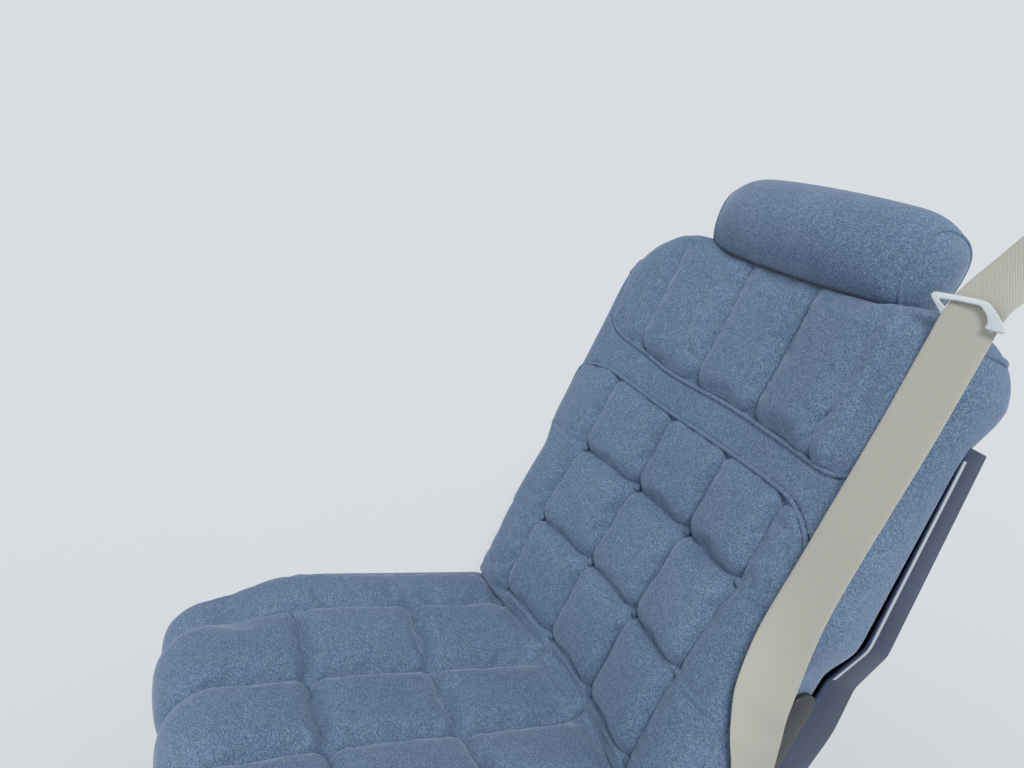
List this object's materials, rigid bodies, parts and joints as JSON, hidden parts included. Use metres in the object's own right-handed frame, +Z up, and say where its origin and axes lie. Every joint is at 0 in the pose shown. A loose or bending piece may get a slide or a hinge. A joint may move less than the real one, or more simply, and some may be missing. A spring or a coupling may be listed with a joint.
{
  "type": "front bucket seat of a luxury coupe",
  "caption": "Car front bucket seat in blue tufted velour with a pleated upper back, padded head rest, shoulder belt guide with webbing, moulded rear shell and floor rails.",
  "frame": {"origin": "On the floor, at the middle of the four floor bolts.", "axes": "+X towards the door, +Y towards the rear of the car, +Z up; the sitter faces -Y."},
  "size_m": [0.528, 0.7431, 0.8306],
  "materials": {
    "painted_steel": "satin",
    "plated_steel": "satin",
    "bright_trim": "gloss",
    "velour_plain": "matte",
    "velour_sewn": "matte",
    "navy_moulding": "satin",
    "black_plastic": "satin",
    "pale_plastic": "satin",
    "belt_weave": "matte"
  },
  "bodies": {
    "floor_rails": {"rail_fixed_inboard": "painted_steel", "rail_fixed_outboard": "painted_steel", "rail_foot_front_inboard": "painted_steel", "rail_foot_front_outboard": "painted_steel", "rail_foot_rear_inboard": "painted_steel", "rail_foot_rear_outboard": "painted_steel"},
    "seat_base": {"rail_sliding_inboard": "painted_steel", "rail_sliding_outboard": "painted_steel", "side_plate_inboard": "painted_steel", "side_plate_outboard": "painted_steel", "cross_tube_front": "painted_steel", "cross_tube_rear": "painted_steel", "hinge_bracket_inboard": "painted_steel", "hinge_bracket_outboard": "painted_steel", "hinge_cap_inboard": "navy_moulding", "hinge_cap_outboard": "navy_moulding", "cushion_pan": "painted_steel", "cushion_pad": "velour_plain", "cushion_insert": "velour_sewn", "side_cover_inboard": "navy_moulding", "side_cover_outboard": "navy_moulding", "slide_bar": "black_plastic"},
    "backrest": {"back_arm_inboard": "painted_steel", "back_arm_outboard": "painted_steel", "back_pad": "velour_plain", "back_insert_lower": "velour_sewn", "back_insert_upper": "velour_sewn", "back_shell": "navy_moulding", "shell_strip_inboard": "bright_trim", "shell_strip_outboard": "bright_trim", "fold_release": "bright_trim", "post_sleeve_inboard": "black_plastic", "post_sleeve_outboard": "black_plastic", "belt_guide": "pale_plastic", "belt_webbing": "belt_weave", "belt_anchor_top": "plated_steel", "belt_anchor_low": "plated_steel"},
    "head_rest": {"head_rest_pad": "velour_sewn", "rest_post_inboard": "plated_steel", "rest_post_outboard": "plated_steel"}
  },
  "joints": [
    {"name": "seat_slide", "type": "slide", "parent": "floor_rails", "child": "seat_base", "axis": [0, 1, 0], "range_m": [-0.07, 0.07]},
    {"name": "back_fold", "type": "hinge", "parent": "seat_base", "child": "backrest", "pos_m": [0, 0.16043, 0.23308], "axis": [1, 0, 0], "range_deg": [0, 45]},
    {"name": "head_rest_lift", "type": "slide", "parent": "backrest", "child": "head_rest", "axis": [0, 0.4848, 0.8746], "range_m": [0, 0.06]}
  ]
}
